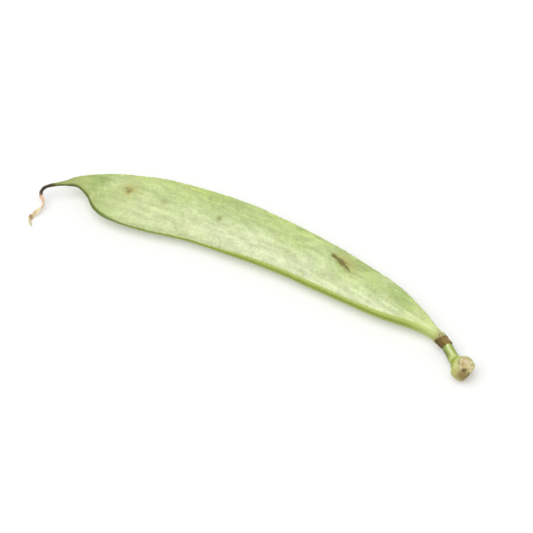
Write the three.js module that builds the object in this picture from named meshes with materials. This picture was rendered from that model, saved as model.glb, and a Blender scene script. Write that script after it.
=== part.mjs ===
// A flat bean: one lablab pod as picked, lying on its broad side.
// Units are millimetres and +Z is up. X runs along the pod, from its beak at -X to its stalk at +X.
// +Y is the edge that carries the seeds. Everything rests on the plane Z = 0.

import * as THREE from 'three';
import { LoftGeometry } from 'three/addons/geometries/LoftGeometry.js';
import { mergeVertices } from 'three/addons/utils/BufferGeometryUtils.js';

// Driving dimensions of the pod.
const POD_LENGTH = 112;
const POD_WIDTH = 18.4;
const POD_THICKNESS = 6;
const SEED_COUNT = 5;
const SEED_BULGE = 0.32;
const SEED_SPREAD_ALONG = 5.2;
const SEED_SPREAD_ACROSS = 0.5;
const FIRST_SEED = 0.2;
const LAST_SEED = 0.8;
const EDGE_FULLNESS = 0.46;
const EDGE_SQUARENESS = 14;
const END_BLEND = 0.14;
const TWIST = THREE.MathUtils.degToRad( - 4 );

// Driving dimensions of the small organs. Neighbours stand JOINT_GAP apart.
const JOINT_GAP = 0.3;
const STYLE_RADIUS = 0.6;
const STYLE_END_RADIUS = 0.42;
const FLOWER_HALF_WIDTH = 0.7;
const FLOWER_HALF_THICKNESS = 0.3;
const CALYX_LENGTH = 2.8;
const CALYX_MOUTH_RADIUS = 1.6;
const CALYX_SWELL = 0.25;
const CALYX_TAPER = 0.3;
const CALYX_BEND = THREE.MathUtils.degToRad( - 5 );
const CALYX_SLOPE = - 0.14;
const STALK_LENGTH = 5.1;
const STALK_RADIUS = 1.25;
const STALK_END_RADIUS = 1.4;
const STALK_BEND = THREE.MathUtils.degToRad( - 17.5 );
const STALK_SLOPE = 0.04;
const STALK_HANDLE = 0.25;
const KNOB_RADIUS = 3.03;
const KNOB_NECK_ARM = 4.1;
const KNOB_SCAR_ARM = 2.4;
const KNOB_BEND = THREE.MathUtils.degToRad( - 10 );
const KNOB_SLOPE = 0;

// Where the knob's round outline starts at its neck and is cut off at its scar, as shares of its
// radius, and the direction that the scar faces.
const KNOB_NECK = - 0.88;
const KNOB_SCAR = 0.7;
const SCAR_FACING = new THREE.Vector3( 1, 0, 1.94 ).normalize();

// The part of the flower strip's outline that is there, as shares of a half wave.
const FLOWER_FROM = 0.25;
const FLOWER_TO = 0.85;

// Mesh fineness.
const POD_STATIONS = 84;
const POD_SIDES = 32;
const ORGAN_SIDES = 12;
const THREAD_STEPS = 16;
const STUB_STEPS = 10;
const KNOB_STEPS = 16;
const MERGE_DISTANCE = 1e-4;

const UP = new THREE.Vector3( 0, 0, 1 );

// The pod's middle line and its size along the way, from the beak to the stalk.
// along is a share of the length. aside, above and below are shares of the width: how far the middle
// line stands to +Y, and how far the two edges stand from it. halfThickness and lift are shares of
// the thickness.
const POD_SHAPE = [
	{ along: 0, aside: - 0.13, above: 0.042, below: 0.042, halfThickness: 0.115, lift: 0.68 },
	{ along: 0.022, aside: - 0.025, above: 0.088, below: 0.095, halfThickness: 0.165, lift: 0.67 },
	{ along: 0.055, aside: 0.055, above: 0.17, below: 0.245, halfThickness: 0.265, lift: 0.65 },
	{ along: 0.095, aside: 0.095, above: 0.28, below: 0.43, halfThickness: 0.37, lift: 0.62 },
	{ along: 0.15, aside: 0.135, above: 0.388, below: 0.528, halfThickness: 0.45, lift: 0.57 },
	{ along: 0.22, aside: 0.205, above: 0.472, below: 0.52, halfThickness: 0.49, lift: 0.53 },
	{ along: 0.32, aside: 0.305, above: 0.502, below: 0.475, halfThickness: 0.5, lift: 0.515 },
	{ along: 0.44, aside: 0.37, above: 0.508, below: 0.47, halfThickness: 0.5, lift: 0.515 },
	{ along: 0.58, aside: 0.375, above: 0.458, below: 0.43, halfThickness: 0.5, lift: 0.515 },
	{ along: 0.72, aside: 0.32, above: 0.405, below: 0.388, halfThickness: 0.495, lift: 0.515 },
	{ along: 0.84, aside: 0.235, above: 0.332, below: 0.31, halfThickness: 0.45, lift: 0.52 },
	{ along: 0.925, aside: 0.15, above: 0.2, below: 0.17, halfThickness: 0.37, lift: 0.525 },
	{ along: 0.97, aside: 0.085, above: 0.108, below: 0.092, halfThickness: 0.285, lift: 0.51 },
	{ along: 1, aside: 0.035, above: 0.076, below: 0.076, halfThickness: 0.24, lift: 0.47 },
];

const { lerp, smoothstep } = THREE.MathUtils;

// A curve through points, evaluated at equal steps of its point list.
function smoothCurve( points ) {

	return new THREE.CatmullRomCurve3( points, false, 'catmullrom', 0.5 );

}

// A closed body from rings of points, with its shared corners merged.
function closedBody( rings ) {

	const loft = new LoftGeometry( rings, { capStart: true, capEnd: true } );
	const shell = new THREE.BufferGeometry();
	shell.setAttribute( 'position', loft.getAttribute( 'position' ) );
	shell.setIndex( loft.getIndex() );
	const body = mergeVertices( shell, MERGE_DISTANCE );
	body.computeVertexNormals();
	return body;

}

// The sideways and upward directions at a point of a path that is nowhere vertical.
function frameAt( path, t ) {

	const forward = path.getTangent( t );
	const side = UP.clone().cross( forward ).normalize();
	const up = new THREE.Vector3().crossVectors( forward, side );
	return { side, up };

}

// A closed body of an oval section carried along a path. sizeAt gives half width and half height.
function sweep( path, sizeAt, steps ) {

	const rings = [];
	for ( let i = 0; i <= steps; i ++ ) {

		const t = i / steps;
		const centre = path.getPoint( t );
		const { side, up } = frameAt( path, t );
		const [ halfWidth, halfHeight ] = sizeAt( t );
		const ring = [];
		for ( let j = 0; j < ORGAN_SIDES; j ++ ) {

			const angle = j / ORGAN_SIDES * Math.PI * 2;
			const point = centre.clone();
			point.addScaledVector( side, halfWidth * Math.cos( angle ) );
			point.addScaledVector( up, halfHeight * Math.sin( angle ) );
			point.z = Math.max( point.z, 0 );
			ring.push( point );

		}

		rings.push( ring );

	}

	return closedBody( rings );

}

// The pod's middle line, and its two half widths and half thickness, as two curves on one parameter.
const spine = smoothCurve( POD_SHAPE.map( ( row ) => new THREE.Vector3(
	( row.along - 0.5 ) * POD_LENGTH,
	row.aside * POD_WIDTH,
	row.lift * POD_THICKNESS,
) ) );
const girth = smoothCurve( POD_SHAPE.map( ( row ) => new THREE.Vector3(
	row.above * POD_WIDTH,
	row.below * POD_WIDTH,
	row.halfThickness * POD_THICKNESS,
) ) );

// How far the seeds inside push the wall out, along the pod and across it.
function seedBulge( x, across ) {

	let bulge = 0;
	for ( let i = 0; i < SEED_COUNT; i ++ ) {

		const share = lerp( FIRST_SEED, LAST_SEED, i / ( SEED_COUNT - 1 ) );
		const distance = ( x - ( share - 0.5 ) * POD_LENGTH ) / SEED_SPREAD_ALONG;
		bulge += Math.exp( - distance * distance );

	}

	const side = across / SEED_SPREAD_ACROSS;
	return SEED_BULGE * bulge * Math.exp( - side * side );

}

// One cross section of the pod: a lens with blunt edges, round at both ends of the pod.
function podRing( t ) {

	const centre = spine.getPoint( t );
	const { side } = frameAt( spine, t );
	const size = girth.getPoint( t );
	const body = smoothstep( t, 0, END_BLEND ) * smoothstep( 1 - t, 0, END_BLEND );
	const fullness = lerp( 1, EDGE_FULLNESS, body );
	const squareness = lerp( 2, EDGE_SQUARENESS, body );
	const turn = TWIST * ( 2 * t - 1 );
	const ring = [];
	for ( let j = 0; j < POD_SIDES; j ++ ) {

		const angle = j / POD_SIDES * Math.PI * 2;
		const across = Math.cos( angle );
		const lens = fullness + ( 1 - fullness ) * ( 1 - across * across );
		const blunt = Math.sqrt( Math.max( 0, 1 - Math.abs( across ) ** squareness ) );
		const wall = size.z * lens * blunt + body * seedBulge( centre.x, across );
		const out = across * ( across > 0 ? size.x : size.y );
		const height = Math.sign( Math.sin( angle ) ) * wall;
		const point = centre.clone();
		point.addScaledVector( side, out * Math.cos( turn ) - height * Math.sin( turn ) );
		point.z += out * Math.sin( turn ) + height * Math.cos( turn );
		point.z = Math.max( point.z, 0 );
		ring.push( point );

	}

	return ring;

}

function podGeometry() {

	const rings = [];
	for ( let i = 0; i <= POD_STATIONS; i ++ ) rings.push( podRing( i / POD_STATIONS ) );
	return closedBody( rings );

}

// A smooth path from a start point through points given by how far they lie from it.
function route( start, offsets ) {

	const points = offsets.map( ( [ x, y, z ] ) => start.clone().add( new THREE.Vector3( x, y, z ) ) );
	return smoothCurve( [ start, ...points ] );

}

// A direction turned about the vertical, with a new slope.
function turned( direction, turn, slope ) {

	return direction.clone().applyAxisAngle( UP, turn ).setZ( slope ).normalize();

}

// The dried thread at the beak: it leaves the pod's tip, thins and hooks down.
const tip = spine.getPoint( 0 );
const styleStart = tip.clone().addScaledVector( spine.getTangent( 0 ), - JOINT_GAP );
const stylePath = route( styleStart, [
	[ - 1.2, - 1.0, 0.1 ],
	[ - 2.9, - 2.4, 0.0 ],
	[ - 4.1, - 3.6, - 0.4 ],
	[ - 4.4, - 4.7, - 1.0 ],
	[ - 4.1, - 5.4, - 1.6 ],
] );

function styleSize( t ) {

	const radius = lerp( STYLE_RADIUS, STYLE_END_RADIUS, t );
	return [ radius, radius ];

}

// The withered flower that hangs from the thread: a flat shrivelled strip that droops to the surface.
const flowerStart = stylePath.getPoint( 1 ).addScaledVector( stylePath.getTangent( 1 ), JOINT_GAP );
const flowerPath = route( flowerStart, [
	[ 0.8, - 0.3, - 0.35 ],
	[ 1.8, - 1.8, - 1.0 ],
	[ 1.1, - 4.9, - 1.6 ],
	[ 0.6, - 7.1, - 1.83 ],
	[ 2.2, - 9.0, - 1.9 ],
] );

function flowerSize( t ) {

	const swell = Math.sin( Math.PI * lerp( FLOWER_FROM, FLOWER_TO, t ) );
	return [ FLOWER_HALF_WIDTH * swell, FLOWER_HALF_THICKNESS ];

}

// The dry collar around the pod's foot: it swells, then draws in to the stalk.
const root = spine.getPoint( 1 );
const calyxDirection = turned( spine.getTangent( 1 ), CALYX_BEND, CALYX_SLOPE );
const calyxStart = root.clone().addScaledVector( calyxDirection, JOINT_GAP );
const calyxEnd = calyxStart.clone().addScaledVector( calyxDirection, CALYX_LENGTH );
const calyxPath = new THREE.LineCurve3( calyxStart, calyxEnd );

function calyxSize( t ) {

	const radius = CALYX_MOUTH_RADIUS + CALYX_SWELL * Math.sin( Math.PI * t ) - CALYX_TAPER * t * t;
	return [ radius, radius ];

}

// The green stalk, a little thicker at the knob. It leaves the calyx straight, bends aside, and bends
// back to the knob's direction.
const knobDirection = turned( calyxDirection, KNOB_BEND, KNOB_SLOPE );
const stalkStart = calyxEnd.clone().addScaledVector( calyxDirection, JOINT_GAP );
const stalkEnd = stalkStart.clone();
stalkEnd.addScaledVector( turned( calyxDirection, STALK_BEND, STALK_SLOPE ), STALK_LENGTH );
const handle = STALK_HANDLE * STALK_LENGTH;
const stalkPath = new THREE.CubicBezierCurve3(
	stalkStart,
	stalkStart.clone().addScaledVector( calyxDirection, handle ),
	stalkEnd.clone().addScaledVector( knobDirection, - handle ),
	stalkEnd,
);

function stalkSize( t ) {

	const radius = lerp( STALK_RADIUS, STALK_END_RADIUS, t * t );
	return [ radius, radius ];

}

// The knob: a round bulb that bends up from its neck to the flat scar that cuts it off.
const knobStart = stalkEnd.clone().addScaledVector( knobDirection, JOINT_GAP );
const knobBend = knobStart.clone().addScaledVector( knobDirection, KNOB_NECK_ARM );
const knobEnd = knobBend.clone().addScaledVector( SCAR_FACING, KNOB_SCAR_ARM );
const knobPath = new THREE.QuadraticBezierCurve3( knobStart, knobBend, knobEnd );

function knobSize( t ) {

	const place = lerp( KNOB_NECK, KNOB_SCAR, t );
	const radius = KNOB_RADIUS * Math.sqrt( 1 - place * place );
	return [ radius, radius ];

}

// Shape, colour and roughness of each organ, by name.
const ORGANS = {
	pod: [ podGeometry(), 0xc3d78f, 0.5 ],
	style: [ sweep( stylePath, styleSize, THREAD_STEPS ), 0x4b4526, 0.8 ],
	withered_flower: [ sweep( flowerPath, flowerSize, THREAD_STEPS ), 0xc9b892, 0.85 ],
	calyx: [ sweep( calyxPath, calyxSize, STUB_STEPS ), 0x84703e, 0.8 ],
	stalk: [ sweep( stalkPath, stalkSize, STUB_STEPS ), 0xa5b76b, 0.45 ],
	stem_knob: [ sweep( knobPath, knobSize, KNOB_STEPS ), 0xc3b88f, 0.6 ],
};

const flatBean = new THREE.Group();
for ( const [ name, [ geometry, color, roughness ] ] of Object.entries( ORGANS ) ) {

	const material = new THREE.MeshStandardMaterial( { color, roughness, metalness: 0 } );
	const mesh = new THREE.Mesh( geometry, material );
	mesh.name = name;
	flatBean.add( mesh );

}

// The origin is the middle of the whole bean's footprint, on the surface it lies on.
const box = new THREE.Box3().setFromObject( flatBean );
const middle = box.getCenter( new THREE.Vector3() );
flatBean.position.set( - middle.x, - middle.y, - box.min.z );

export default flatBean;
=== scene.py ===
"""The looks of a flat bean: one pod as picked, lying on its broad side.

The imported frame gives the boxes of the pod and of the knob, and the other organs are placed from
those. Each organ is worked out here again as a fine surface: rings of points carried along a line, with
the relief of seams, seeds, veins and warts.
Lengths in the formulas are in millimetres, and meshes are in metres.
"""

import math

import bpy
import numpy as np
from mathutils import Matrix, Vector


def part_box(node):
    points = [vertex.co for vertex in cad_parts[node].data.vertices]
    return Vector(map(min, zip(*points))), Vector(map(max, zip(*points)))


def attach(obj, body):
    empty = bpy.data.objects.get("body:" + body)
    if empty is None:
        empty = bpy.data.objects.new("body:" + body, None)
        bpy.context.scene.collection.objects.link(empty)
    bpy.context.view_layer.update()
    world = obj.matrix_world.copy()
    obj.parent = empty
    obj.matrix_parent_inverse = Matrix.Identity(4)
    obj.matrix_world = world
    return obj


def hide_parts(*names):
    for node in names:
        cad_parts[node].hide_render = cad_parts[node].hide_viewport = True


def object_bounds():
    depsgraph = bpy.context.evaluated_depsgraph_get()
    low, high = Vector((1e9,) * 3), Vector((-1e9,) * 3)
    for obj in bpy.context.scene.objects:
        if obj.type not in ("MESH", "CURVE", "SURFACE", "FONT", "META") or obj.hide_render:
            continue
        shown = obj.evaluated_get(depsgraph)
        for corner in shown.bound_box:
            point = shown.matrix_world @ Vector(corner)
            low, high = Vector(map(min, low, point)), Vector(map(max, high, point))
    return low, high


bl_info = {
    "name": "Flat bean",
    "version": (1, 0, 0),
    "blender": (4, 5, 0),
    "location": "View3D > Sidebar > Flat bean",
    "description": "Grows a flat bean pod with its dry organs, and sets a plain studio round it",
    "category": "Add Mesh",
}

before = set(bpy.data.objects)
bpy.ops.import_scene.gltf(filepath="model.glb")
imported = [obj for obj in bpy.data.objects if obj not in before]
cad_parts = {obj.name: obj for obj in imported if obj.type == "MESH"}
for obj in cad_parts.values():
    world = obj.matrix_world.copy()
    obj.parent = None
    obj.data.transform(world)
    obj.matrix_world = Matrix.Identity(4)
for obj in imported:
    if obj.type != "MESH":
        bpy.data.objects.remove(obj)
CAD_BOX = [list(corner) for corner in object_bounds()]

MM = 0.001
TURN = 2 * math.pi
UP = np.array([0.0, 0.0, 1.0])


# ---------------------------------------------------------------- curves and noise


def smoothstep(low, high, value):
    """0 below low, 1 above high, and 3s^2 - 2s^3 between them, where s is the share of the way."""
    share = np.clip((value - low) / (high - low), 0.0, 1.0)
    return share * share * (3.0 - 2.0 * share)


def hump(value, centre, width):
    """A smooth hill of height 1: e to the power of minus the squared distance over the width."""
    return np.exp(-(((value - centre) / width) ** 2))


def hills(value, rows):
    """The sum of some humps, each given by its height, its centre and its width."""
    return sum(height * hump(value, centre, width) for height, centre, width in rows)


def unit(vectors):
    """Vectors brought to the length 1."""
    return vectors / np.linalg.norm(vectors, axis=-1, keepdims=True)


def wrapped(angle):
    """The same direction, as an angle from minus half a turn to half a turn."""
    return np.angle(np.exp(1j * angle))


def even_angles(count):
    """That many directions, evenly spaced round a ring from 0."""
    return np.arange(count) / count * TURN


def lengths_along(points):
    """The distance travelled along a line from its first point to each of its points."""
    steps = np.linalg.norm(np.diff(points, axis=0), axis=1)
    return np.concatenate([[0.0], np.cumsum(steps)])


def smooth_curve(points, share):
    """A cubic through evenly numbered points.

    At each inner point the curve runs parallel to the line between that point's neighbours.
    """
    points = np.asarray(points, float)
    ends = (2 * points[0] - points[1], 2 * points[-1] - points[-2])
    padded = np.vstack([ends[0], points, ends[1]])
    place = np.clip(share, 0.0, 1.0) * (len(points) - 1)
    first = np.minimum(place.astype(int), len(points) - 2)
    step = (place - first)[:, None]
    before, start, end, after = (padded[first + k] for k in range(4))
    leave, arrive = (end - before) / 2, (after - start) / 2
    cubic = 2 * start - 2 * end + leave + arrive
    square = -3 * start + 3 * end - 2 * leave - arrive
    return ((cubic * step + square) * step + leave) * step + start


# The numbers that scatter a cell and a seed over 32 bits: large odd factors, and the folds' shifts. The
# last three are added to a seed, one for each coordinate of a random point.
CELL_FACTORS = np.array([374761393, 668265263, 1274126177])
SEED_FACTOR = 2246822519
FOLDS = ((13, 1103515245), (15, 668265263))
LAST_FOLD = 16
LOW_32_BITS = 0xFFFFFFFF
LOW_24_BITS = 0xFFFFFF
AXIS_SEEDS = (0, 17, 34)


def lattice_values(cell, seed):
    """A fixed random number from 0 to 1 for every whole-number cell of space.

    The three cell numbers and the seed are multiplied by large odd numbers, added, and folded.
    """
    mixed = (cell @ CELL_FACTORS + seed * SEED_FACTOR) & LOW_32_BITS
    for shift, factor in FOLDS:
        mixed = ((mixed ^ (mixed >> shift)) * factor) & LOW_32_BITS
    return ((mixed ^ (mixed >> LAST_FOLD)) & LOW_24_BITS) / LOW_24_BITS


def soft_noise(points, size, seed):
    """Smooth noise from -1 to 1 with hills about one size apart.

    The random values at a cell's eight corners are blended with smooth steps.
    """
    place = points / size
    cell = np.floor(place).astype(np.int64)
    inside = place - cell
    blend = smoothstep(0.0, 1.0, inside)
    total = 0.0
    for corner in np.ndindex(2, 2, 2):
        share = np.prod(np.where(corner, blend, 1.0 - blend), axis=-1)
        total = total + share * lattice_values(cell + np.array(corner), seed)
    return 2.0 * total - 1.0


def layered_noise(points, layers):
    """The sum of layers of soft noise, each given by its height, its size and its seed."""
    return sum(height * soft_noise(points, size, seed) for height, size, seed in layers)


def nearest_grains(points, size, seed):
    """Distances, in sizes, to the nearest and second nearest of one random point per cell."""
    place = points / size
    cell = np.floor(place).astype(np.int64)
    nearest = np.full(place.shape[:-1], np.inf)
    second = nearest.copy()
    for offset in np.ndindex(3, 3, 3):
        near_cell = cell + np.array(offset) - 1
        jitter = [lattice_values(near_cell, seed + step) for step in AXIS_SEEDS]
        grain = near_cell + np.stack(jitter, axis=-1)
        distance = np.linalg.norm(place - grain, axis=-1)
        second = np.minimum(second, np.maximum(nearest, distance))
        nearest = np.minimum(nearest, distance)
    return nearest, second


# ---------------------------------------------------------------- rings and meshes


class Route:
    """A smooth line through points, measured by the length travelled along it.

    It is kept as many short steps. Its direction at a place is that of a short chord round it.
    """

    samples = 1201
    half_chord = 0.05

    def __init__(self, points):
        self.points = smooth_curve(points, np.linspace(0.0, 1.0, self.samples))
        self.travelled = lengths_along(self.points)
        self.length = self.travelled[-1]

    def point(self, distance):
        """The points at these distances. Past its ends the line goes straight on."""
        inside = np.clip(distance, 0.0, self.length)
        found = [np.interp(inside, self.travelled, self.points[:, axis]) for axis in range(3)]
        beyond = (distance - inside)[:, None]
        ends = np.where(beyond > 0, self.points[-1] - self.points[-2], self.points[1] - self.points[0])
        return np.stack(found, axis=-1) + beyond * unit(ends)

    def at(self, distance):
        """The points at these distances, and the side and upward directions there.

        The side is level and square to the line, so the line is nowhere upright.
        """
        ahead, behind = self.point(distance + self.half_chord), self.point(distance - self.half_chord)
        forward = unit(ahead - behind)
        side = unit(np.cross(UP, forward))
        return self.point(distance), side, np.cross(forward, side)


def carry(route, distance, out, height):
    """Rings along a route: at each distance, out to the side and height above the line."""
    centre, side, up = route.at(distance)
    return centre[:, None] + out[..., None] * side[:, None] + height[..., None] * up[:, None]


def outward(rings):
    """Unit normals of a grid of rings: the step round the ring crossed with the step along it."""
    along = np.gradient(rings, axis=0)
    around = np.roll(rings, -1, axis=1) - np.roll(rings, 1, axis=1)
    normal = np.cross(around, along)
    return normal / np.maximum(np.linalg.norm(normal, axis=-1, keepdims=True), 1e-9)


def lengths_around(rings):
    """The distance travelled round each ring from its first point, and the whole way round."""
    steps = np.linalg.norm(np.roll(rings, -1, axis=1) - rings, axis=-1)
    travelled = np.cumsum(steps, axis=1) - steps
    return travelled, steps.sum(axis=1, keepdims=True)


def surface_map(rings):
    """Length along and length around for the corners of every face, in metres."""
    columns = rings.shape[1]
    along = lengths_along(rings.mean(axis=1))
    around = np.arange(columns + 1) / columns * lengths_around(rings)[1].mean()
    row, column = np.meshgrid(along[:-1], around[:-1], indexing="ij")
    next_row, next_column = np.meshgrid(along[1:], around[1:], indexing="ij")
    quads = np.stack([row, column, row, next_column, next_row, next_column, next_row, column], axis=-1)
    corners = [quads.reshape(-1)]
    for end, first, second in ((along[0], around[1:], around[:-1]), (along[-1], around[:-1], around[1:])):
        fixed = np.full(columns, end)
        fan = np.stack([fixed, (first + second) / 2, fixed, first, fixed, second], axis=-1)
        corners.append(fan.reshape(-1))
    return np.concatenate(corners) * MM


def ring_mesh(name, rings, values):
    """A closed skin over rings of points given in millimetres.

    Four-sided faces join each ring to the next, and a fan closes the first and the last ring at its
    middle. values holds one number per point for each name, kept as an attribute of the mesh.
    """
    rows, columns = rings.shape[:2]
    count = rows * columns
    points = np.vstack([rings.reshape(-1, 3), rings[0].mean(axis=0), rings[-1].mean(axis=0)]) * MM
    here = np.arange(count).reshape(rows, columns)
    beside = np.roll(here, -1, axis=1)
    quads = np.stack([here[:-1], beside[:-1], beside[1:], here[1:]], axis=-1).reshape(-1, 4)
    first = np.stack([np.full(columns, count), beside[0], here[0]], axis=-1)
    last = np.stack([np.full(columns, count + 1), here[-1], beside[-1]], axis=-1)
    mesh = bpy.data.meshes.new(name)
    mesh.from_pydata(points, [], quads.tolist() + first.tolist() + last.tolist())
    mesh.uv_layers.new(name="along_and_around").data.foreach_set("uv", surface_map(rings))
    for key, grid in values.items():
        grid = np.broadcast_to(grid, (rows, columns))
        numbers = np.concatenate([grid.reshape(-1), [grid[0].mean(), grid[-1].mean()]])
        mesh.attributes.new(key, "FLOAT", "POINT").data.foreach_set("value", numbers.astype(np.float32))
    mesh.shade_smooth()
    piece = bpy.data.objects.new(name, mesh)
    bpy.context.scene.collection.objects.link(piece)
    return piece


def settle(piece, material, node):
    """Gives a piece its finish, lets it stand for a CAD node, and fixes it to the bean."""
    piece.data.materials.append(material)
    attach(piece, "root")
    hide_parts(node)


# ---------------------------------------------------------------- the pod's form

# Columns: share of the length, middle line's place to +Y, upper and lower half width (shares of the
# width), half thickness and lift (shares of the thickness). From the beak to the stalk.
POD_SHAPE = np.array(
    [
        (0.000, -0.130, 0.042, 0.042, 0.115, 0.680),
        (0.022, -0.025, 0.088, 0.095, 0.165, 0.670),
        (0.055, 0.055, 0.170, 0.268, 0.265, 0.650),
        (0.095, 0.095, 0.280, 0.466, 0.370, 0.620),
        (0.150, 0.135, 0.388, 0.528, 0.450, 0.570),
        (0.220, 0.205, 0.472, 0.520, 0.490, 0.530),
        (0.320, 0.305, 0.502, 0.475, 0.500, 0.515),
        (0.440, 0.370, 0.508, 0.470, 0.500, 0.515),
        (0.580, 0.375, 0.458, 0.430, 0.500, 0.515),
        (0.720, 0.320, 0.405, 0.388, 0.495, 0.515),
        (0.840, 0.235, 0.332, 0.310, 0.450, 0.520),
        (0.925, 0.150, 0.200, 0.170, 0.370, 0.525),
        (0.970, 0.085, 0.108, 0.092, 0.285, 0.510),
        (1.000, 0.035, 0.076, 0.076, 0.240, 0.470),
    ]
)
# What those shares are of, in millimetres, before the pod is fitted into the frame.
POD_LENGTH = 112.0
POD_WIDTH = 18.4
POD_THICKNESS = 6.0
# The wall's height beside the seams as a share of its height in the middle, how square its edge is, how
# much of the shape at each end both take to set in, and how far the stalk's end is twisted. The beak's
# end is twisted as far the other way.
EDGE_FULLNESS = 0.46
EDGE_SQUARENESS = 14.0
END_BLEND = 0.14
TWIST = math.radians(-4.0)
# The seeds: places as shares of the length, and sizes relative to each other. A swelling's spread is in
# millimetres along the pod. Across it, the spread and the middle are on a scale from -1 to 1. The last
# is how far the CAD pod's wall is pushed out.
SEED_PLACES = np.linspace(0.2, 0.8, 5)
SEED_SIZES = (0.95, 1.1, 0.95, 1.15, 0.9)
SEED_SPREAD_ALONG = 5.2
SEED_SPREAD_ACROSS = 0.5
SEED_MIDDLE_ACROSS = 0.06
CAD_SEED_BULGE = 0.32

# Hills and hollows across the seams: height, distance from the seam's middle, and width.
UPPER_SEAM = ((0.24, 0.0, 0.42), (-0.14, 1.0, 0.4), (0.1, 2.0, 0.5), (-0.2, 0.0, 1.5))
LOWER_SEAM = ((0.2, 0.0, 0.34), (-0.07, 0.8, 0.35), (0.1, 1.75, 0.4), (-0.18, 0.0, 1.4))
# Warts: how far apart they stand, and how far each reaches, as a share of that.
WART_SPACING = 0.78
WART_REACH = 0.62
# Veins: how the net leans against the pod's length, the size of its meshes, and a vein's width in meshes.
VEIN_LEAN = math.radians(28.0)
VEIN_MESH = (2.6, 6.5)
VEIN_WIDTH = 0.085

# Places of the scars on the upper face: along the pod from its middle, and out from its middle line. The
# long one is turned against the pod's length.
SCRATCH_PLACE = (22.0, 2.25)
SCRATCH_TURN = math.radians(-14.0)
STAR_PLACE = (-39.1, 0.0)
# The star's plain reach, and its arms: direction in degrees, and how much further each reaches.
STAR_REACH = 1.1
STAR_ARMS = ((164.0, 1.1), (105.0, 0.5), (20.0, 0.4), (255.0, 1.0))
# Stains and specks on the upper face: place along and out, reach along and out, and strength.
STAINS = {
    "green_stain": (
        (-47.8, 0.4, 2.2, 2.0, 0.85),
        (40.7, 1.3, 2.6, 2.0, 0.45),
        (44.4, 0.8, 1.6, 1.4, 0.35),
    ),
    "pale_stain": (
        (-43.7, 0.9, 2.2, 2.4, 0.6),
        (-41.1, 3.2, 3.4, 2.0, 0.5),
        (-38.6, 2.4, 1.8, 1.1, 0.5),
        (-33.6, 3.8, 4.5, 2.6, 0.4),
        (-5.5, 5.2, 4.5, 1.8, 0.4),
        (4.0, 4.0, 6.0, 2.8, 0.35),
        (13.5, 3.8, 5.0, 2.4, 0.65),
        (17.5, 0.2, 3.6, 2.8, 0.4),
        (29.0, 0.0, 4.0, 3.0, 0.45),
        (33.7, 4.3, 3.6, 1.5, 0.6),
    ),
    "olive_speck": (
        (-29.2, -0.8, 1.2, 0.8, 0.6),
        (-18.6, 4.9, 0.7, 0.7, 0.6),
        (-13.4, -0.9, 0.8, 1.1, 0.75),
    ),
}

# Rings along the pod and points round each, for the skin and for the fit to the frame; steps that measure
# the middle line; how strongly the skin's points are crowded towards the seams; and how wide its first
# and last ring stay, as a share of their size.
POD_GRID = (478, 208)
FIT_GRID = (400, 128)
LENGTH_SAMPLES = 4001
CROWDING = 0.14
END_OPENING = 0.45


def pod_line(share):
    """The pod's middle line in millimetres, before it is fitted into the frame."""
    rows = POD_SHAPE[:, [0, 1, 5]] - (0.5, 0.0, 0.0)
    return smooth_curve(rows * (POD_LENGTH, POD_WIDTH, POD_THICKNESS), share)


def even_shares(count):
    """Shares of the point list that are evenly spaced by length along the pod's middle line."""
    shares = np.linspace(0.0, 1.0, LENGTH_SAMPLES)
    travelled = lengths_along(pod_line(shares))
    return np.interp(np.linspace(0.0, travelled[-1], count), travelled, shares)


def pod_ends(share):
    """1 over the body of the pod, falling smoothly to 0 at both ends."""
    return smoothstep(0.0, END_BLEND, share) * smoothstep(0.0, END_BLEND, 1.0 - share)


def seed_swelling(along, across):
    """Rounded hills over the seeds, each a hump along the pod times a hump across it."""
    middles = (SEED_PLACES - 0.5) * POD_LENGTH
    rows = [(size, middle, SEED_SPREAD_ALONG * size) for middle, size in zip(middles, SEED_SIZES)]
    return hills(along, rows) * hump(across, SEED_MIDDLE_ACROSS, SEED_SPREAD_ACROSS)


def pod_rings(share, angle, bulge):
    """The pod's plain form, one ring for each share and one point for each angle.

    Across is the cosine of the angle: 1 at the upper seam, -1 at the lower one. The wall's height is
    a lens, fullness + (1 - fullness)(1 - across^2), times a blunt edge, the root of
    1 - |across|^squareness. Both turn into a plain oval at the pod's ends, and nothing is below Z 0.
    """
    centre = pod_line(share)
    step = 1e-4
    ahead, behind = pod_line(np.minimum(share + step, 1.0)), pod_line(np.maximum(share - step, 0.0))
    side = unit(np.cross(UP, ahead - behind))
    sizes = POD_SHAPE[:, [2, 3, 4]] * (POD_WIDTH, POD_WIDTH, POD_THICKNESS)
    upper, lower, thick = smooth_curve(sizes, share).T[:, :, None]
    body = pod_ends(share)[:, None]
    across = np.cos(angle)[None, :]
    fullness = 1.0 + (EDGE_FULLNESS - 1.0) * body
    squareness = 2.0 + (EDGE_SQUARENESS - 2.0) * body
    lens = fullness + (1.0 - fullness) * (1.0 - across**2)
    blunt = np.sqrt(np.maximum(0.0, 1.0 - np.abs(across) ** squareness))
    swelling = bulge * body * seed_swelling(centre[:, :1], across)
    height = np.sign(np.sin(angle)) * (thick * lens * blunt + swelling)
    out = across * np.where(across > 0, upper, lower)
    turn = TWIST * (2.0 * share - 1.0)[:, None]
    level = out * np.cos(turn) - height * np.sin(turn)
    rise = out * np.sin(turn) + height * np.cos(turn)
    rings = centre[:, None] + level[..., None] * side[:, None] + rise[..., None] * UP
    rings[..., 2] = np.maximum(rings[..., 2], 0.0)
    return rings


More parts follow.
